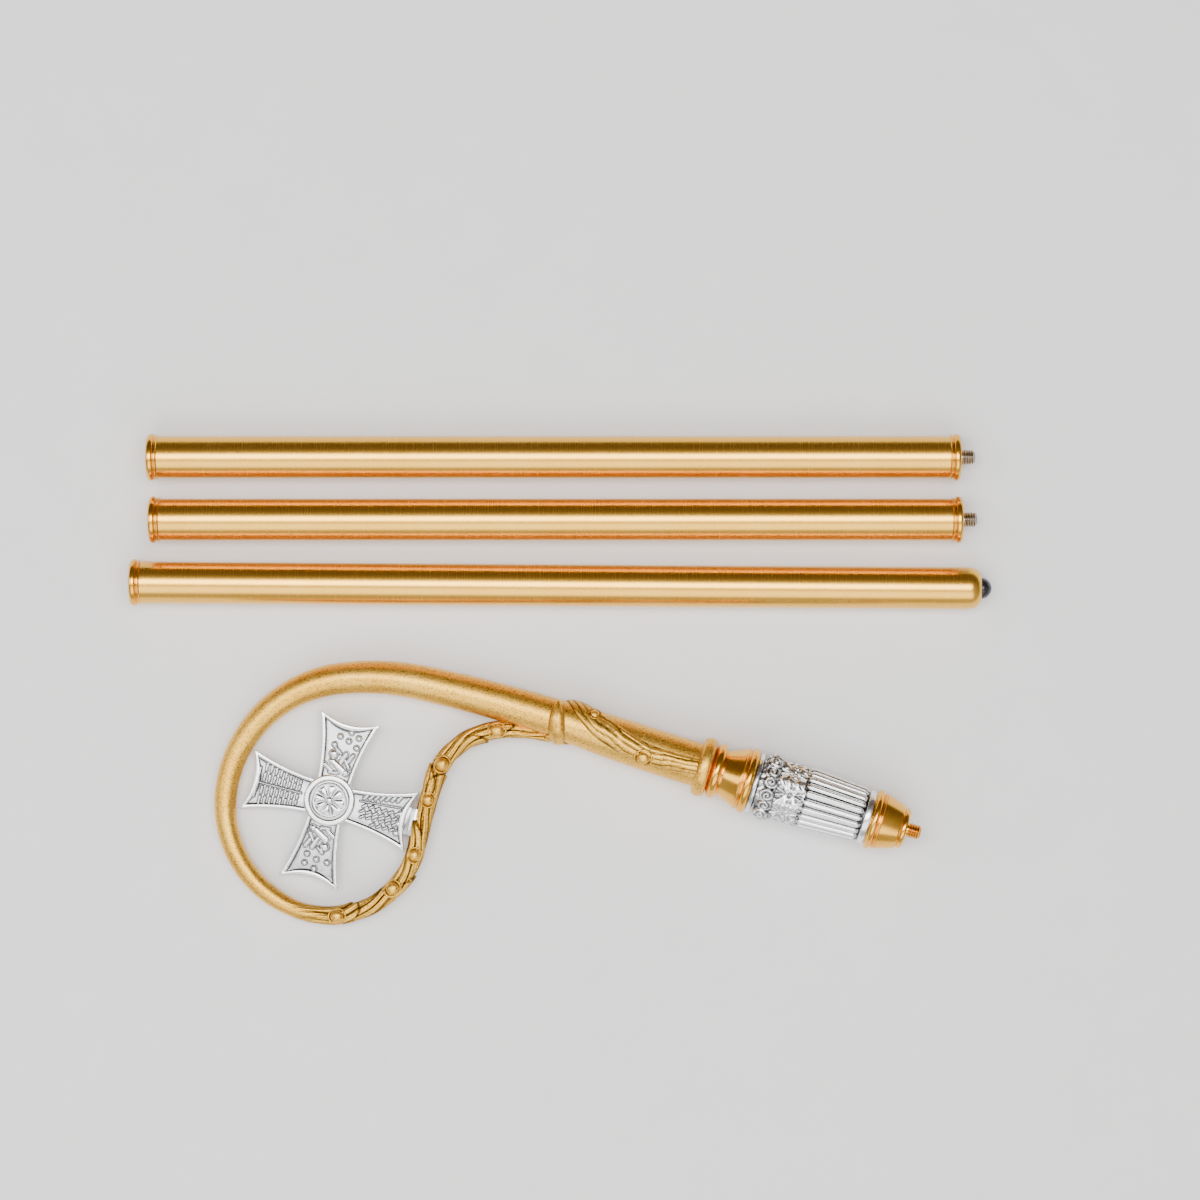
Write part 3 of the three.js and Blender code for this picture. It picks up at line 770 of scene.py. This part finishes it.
def cross_body():
    panel = PLATE_HALF - 0.1
    # The last figure of each row is painted shade: near-black at the rim's inner foot and a mid grey over
    # the sunk panel.
    face = [(0, RIM_HALF - 0.5, 0.0), (0.15, RIM_HALF - 0.15, 0.0), (0.5, RIM_HALF, 0.0),
            (RIM_WIDTH - 0.9, RIM_HALF, 0.0), (RIM_WIDTH - 0.45, RIM_HALF - 0.2, 0.1),
            (RIM_WIDTH - 0.1, panel + 0.15, 0.95), (RIM_WIDTH + 0.3, panel, 0.9),
            (RIM_WIDTH + 0.8, panel, 0.6), (RIM_WIDTH + 1.8, panel, 0.48)]
    loops = [cross_loop(margin, -z) for margin, z, _ in face[::-1]]
    loops += [cross_loop(margin, z) for margin, z, _ in face]
    shade = [dark for _, _, dark in face[::-1]] + [dark for _, _, dark in face]
    points = np.array(loops)
    return grid(points, np.repeat(np.array(shade)[:, None], points.shape[1], axis=1))


def knob(radius, height, sides=20):
    """A domed dot in a ring of painted shade, standing on z = 0."""
    turn = np.linspace(0.03, math.pi / 2, 9)
    profile = [(height * math.cos(a), radius * math.sin(a), 0.0) for a in turn]
    foot = radius + DARK_FOOT
    profile += [(0.06, radius + 0.12, 1.0), (0.04, foot, 0.95), (-0.3, foot, 0.9)]
    angle = np.arange(sides) * TAU / sides
    points = np.array([[(r * math.cos(a), r * math.sin(a), z) for a in angle] for z, r, _ in profile])
    return grid(points, np.repeat(np.array([s for _, _, s in profile])[:, None], sides, axis=1))


def stroke(start, end, width, height):
    """A low rounded bar from one point to another, with a foot of painted shade."""
    (x0, y0), (x1, y1) = start, end
    length = math.hypot(x1 - x0, y1 - y0)
    sides = 24
    angle = np.arange(sides) * TAU / sides
    turn = np.linspace(0.03, math.pi / 2, 7)
    foot = 1 + DARK_FOOT * 2 / width
    rows = [(math.sin(a), height * math.cos(a), 0.0) for a in turn]
    rows += [(1.12, 0.06, 1.0), (foot, 0.04, 0.95), (foot, -0.3, 0.9)]
    rings = []
    for grow, z, _ in rows:
        reach = np.where(np.cos(angle) > 0, length / 2, -length / 2)
        half = width / 2 * grow
        ring = [reach + half * np.cos(angle), half * np.sin(angle), np.full(sides, z)]
        rings.append(np.stack(ring, axis=1))
    part = grid(np.array(rings), np.repeat(np.array([s for _, _, s in rows])[:, None], sides, axis=1))
    return place(part, (x0 + x1) / 2, (y0 + y1) / 2, 0, math.degrees(math.atan2(y1 - y0, x1 - x0)))


def leafy_beast(dots):
    """A low leafy shape crouching across the arm, with ringed dots beyond it, for one arm along +x."""
    parts = [stroke((19, -3.2), (23, 3.6), 5.2, 1.7), place(knob(2.9, 1.9), 27.6, 4.2),
             place(knob(2.2, 1.5), 18.2, -5.2)]
    for start, end, width in BEAST_LEAVES:
        parts.append(stroke(start, end, width, 1.3))
    parts += [place(knob(DOT, 1.3), x, y) for x, y in dots]
    return parts


def book_panel():
    """Two columns of short marks either side of a spine."""
    parts = [stroke((17.5, 0), (44, 0), 1.0, 0.9), stroke((44.4, -9), (44.4, 9), 1.0, 0.9)]
    for row in range(8):
        x = 19.2 + row * 3.1
        reach = 4.2 + row * 0.75
        for side in (-1, 1):
            parts.append(stroke((x, side * 2.1), (x, side * (2.1 + reach * 0.4)), 1.5, 0.8))
            parts.append(stroke((x, side * (3.4 + reach * 0.5)), (x, side * (2.6 + reach)), 1.5, 0.8))
    return parts


def mark_panel():
    """A heavy row of marks along one edge, slanting rows of small ones and dots at the end."""
    parts = []
    for mark in range(7):
        start = (20 + mark * 3.3, 6.4 + mark * 0.55)
        end = (21.6 + mark * 3.3, 8.6 + mark * 0.72)
        parts.append(stroke(start, end, 2.0, 1.3))
    parts.append(stroke((18, 4.4), (43, 6.4), 0.9, 0.9))
    for row in range(6):
        for column in range(4):
            x = 19.5 + row * 4 + (column % 2) * 0.9
            y = -7.6 + column * 3.3
            if abs(y) < 6.2 + row * 0.9:
                parts.append(stroke((x, y - 0.7), (x + 1.9, y + 0.6), 1.3, 0.8))
    parts += [place(knob(1.7, 1.1), 43.4, y) for y in (-8.8, -3, 3)]
    return parts


def medallion():
    """A raised rim round a sunk field with a plain eight-petalled rosette."""
    rings, sides = 60, 96
    radius = np.linspace(0.05, MEDAL_RADIUS, rings)[:, None]
    angle = (np.arange(sides) * TAU / sides)[None, :]
    field = MEDAL_HALF - 0.9
    lobe = np.clip(np.abs(np.cos(angle * 4)) * 1.5 - 0.4, 0, 1)
    petal = np.clip(1 - ((radius - 5.6) / 3.3) ** 2, 0, 1) ** 0.5 * lobe
    heart = np.clip(1 - (radius / 1.9) ** 2, 0, 1) ** 0.5
    line = np.exp(-((radius - 10.3) / 0.35) ** 2)
    z = field + 0.75 * petal + 0.85 * heart + 0.3 * line + 0 * angle
    rim = np.clip((radius - MEDAL_FIELD) / 0.7, 0, 1)
    z = z * (1 - rim) + MEDAL_HALF * rim
    z = z - np.clip((radius - MEDAL_RADIUS + 1.3) / 1.3, 0, 1) ** 2 * 1.1
    # Painted shade: dark over the sunk field between the petals, heart and line, and in a ring at the
    # rim's inner edge.
    inside = (1 - rim) * np.exp(-((radius - 5.5) / 5.5) ** 4)
    shade = np.clip(1 - petal * 2.5 - heart * 3 - line, 0, 1) * inside * 0.5
    shade = shade + np.exp(-((radius - MEDAL_FIELD) / 0.5) ** 2) * 0.75
    top = np.stack([radius * np.cos(angle), radius * np.sin(angle), z], axis=-1)
    under = top[::-1] * np.array([1, 1, -1])
    return grid(np.concatenate([top, under]), np.concatenate([shade, shade[::-1]]))


def rounded_box(size, corner=0.35, dark=0.0):
    """A box with softened edges, as rings round its x axis."""
    x, y, z = (value / 2 for value in size)
    outline = []
    for sy, sz, start in ((1, 1, 0), (-1, 1, 90), (-1, -1, 180), (1, -1, 270)):
        for turn in (0, 30, 60, 90):
            a = math.radians(start + turn)
            outline.append((sy * (y - corner) + corner * math.cos(a),
                            sz * (z - corner) + corner * math.sin(a)))
    rings = []
    for at, shrink in ((-x, corner), (-x + corner, 0), (x - corner, 0), (x, corner)):
        rings.append([(at, oy * (1 - shrink / y), oz * (1 - shrink / z)) for oy, oz in outline])
    rings = np.array(rings)
    return grid(rings, np.full(rings.shape[:2], dark))


def flip(part):
    """The same skin turned over to the other face."""
    vertices, faces, shades = part
    return vertices * np.array([1, -1, -1]), faces, shades


def cross():
    reliefs = []
    panels = ((0, mark_panel()), (90, leafy_beast(TOP_DOTS)),
              (180, book_panel()), (270, leafy_beast(FOOT_DOTS)))
    for turn, panel in panels:
        for part in panel:
            front = place(part, 0, 0, PLATE_HALF - 0.08, turn)
            reliefs.append(front)
            reliefs.append(flip(front))
    # Painted shade on the first, recessed strip of the tab.
    tab = [place(rounded_box((5.4, 16.6, 2.2), dark=0.5), 47.4), place(rounded_box((6, 16.6, 3.8)), 52.6)]
    x, y, turn = CROSS_PLACE
    return place(join([cross_body(), medallion(), *tab, *reliefs]), x, y, 0, turn)


# ------------------------------------------------------------------ the crosier

HEAD = head_matrix()
piece("crook_skin", crook(), HEAD, GILT, ["crook"], 60)
piece("cross_skin", cross(), HEAD, SILVER, ["cross"], 50)
piece("upper_cup_skin", upper_cup(), HEAD, POLISHED, ["upper_cup"], 50)
piece("silver_knop_skin", knop(), HEAD, SILVER, ["silver_knop"], 70)
piece("lower_cup_skin", lower_cup(), HEAD, POLISHED, ["lower_cup"], 50)
piece("crook_thread", place(stud(), turn=180), HEAD, POLISHED, ["crook_stud"], 70)
for section in (1, 2, 3):
    staff_section(section)


# ------------------------------------------------------------------ floor, lights and camera

def floor():
    mesh = bpy.data.meshes.new("floor")
    reach = 30
    corners = [(-reach, -reach, 0), (reach, -reach, 0), (reach, reach, 0), (-reach, reach, 0)]
    mesh.from_pydata(corners, [], [(0, 1, 2, 3)])
    mesh.materials.append(paper())
    made = bpy.data.objects.new("floor", mesh)
    bpy.context.scene.collection.objects.link(made)


def softbox(name, at, size, power, target=(0, 0, 0)):
    light = bpy.data.lights.new(name, "AREA")
    light.shape = "RECTANGLE"
    light.size, light.size_y = size
    light.energy = power
    made = bpy.data.objects.new(name, light)
    made.location = at
    made.rotation_euler = (Vector(target) - Vector(at)).to_track_quat("-Z", "Y").to_euler()
    bpy.context.scene.collection.objects.link(made)


def camera():
    """Straight above the layout, framed as wide as the travelling case would be."""
    distance, width, sensor = 1.95, 0.7143, 36
    centre = (0.0229, 0.0473)
    data = bpy.data.cameras.new("camera")
    data.sensor_width = sensor
    data.lens = sensor * (distance - RING_RADIUS * MM) / width
    made = bpy.data.objects.new("camera", data)
    made.location = (*centre, distance)
    bpy.context.scene.collection.objects.link(made)
    bpy.context.scene.camera = made


def world():
    """A plain studio, darker towards the back and brighter in front."""
    made = bpy.data.worlds.new("studio")
    made.use_nodes = True
    tree = made.node_tree
    background = tree.nodes["Background"]
    background.inputs["Strength"].default_value = 1.0
    coordinates = tree.nodes.new("ShaderNodeTexCoord")
    parts = tree.nodes.new("ShaderNodeSeparateXYZ")
    share = tree.nodes.new("ShaderNodeMapRange")
    share.inputs["From Min"].default_value = -0.8
    share.inputs["From Max"].default_value = 0.6
    ramp = tree.nodes.new("ShaderNodeValToRGB")
    ramp.color_ramp.elements[0].color = (0.6, 0.6, 0.6, 1)
    ramp.color_ramp.elements[1].color = (0.13, 0.1, 0.085, 1)
    tree.links.new(coordinates.outputs["Generated"], parts.inputs["Vector"])
    tree.links.new(parts.outputs["Y"], share.inputs["Value"])
    tree.links.new(share.outputs["Result"], ramp.inputs["Fac"])
    tree.links.new(ramp.outputs["Color"], background.inputs["Color"])
    bpy.context.scene.world = made


floor()
softbox("overhead", (0.0, 0.26, 2.5), (2.4, 1.0), 72)
softbox("front_fill", (0.0, -1.5, 1.9), (3.0, 1.6), 40)
softbox("left_fill", (-1.9, 0.2, 1.5), (0.9, 1.6), 16)
camera()
world()
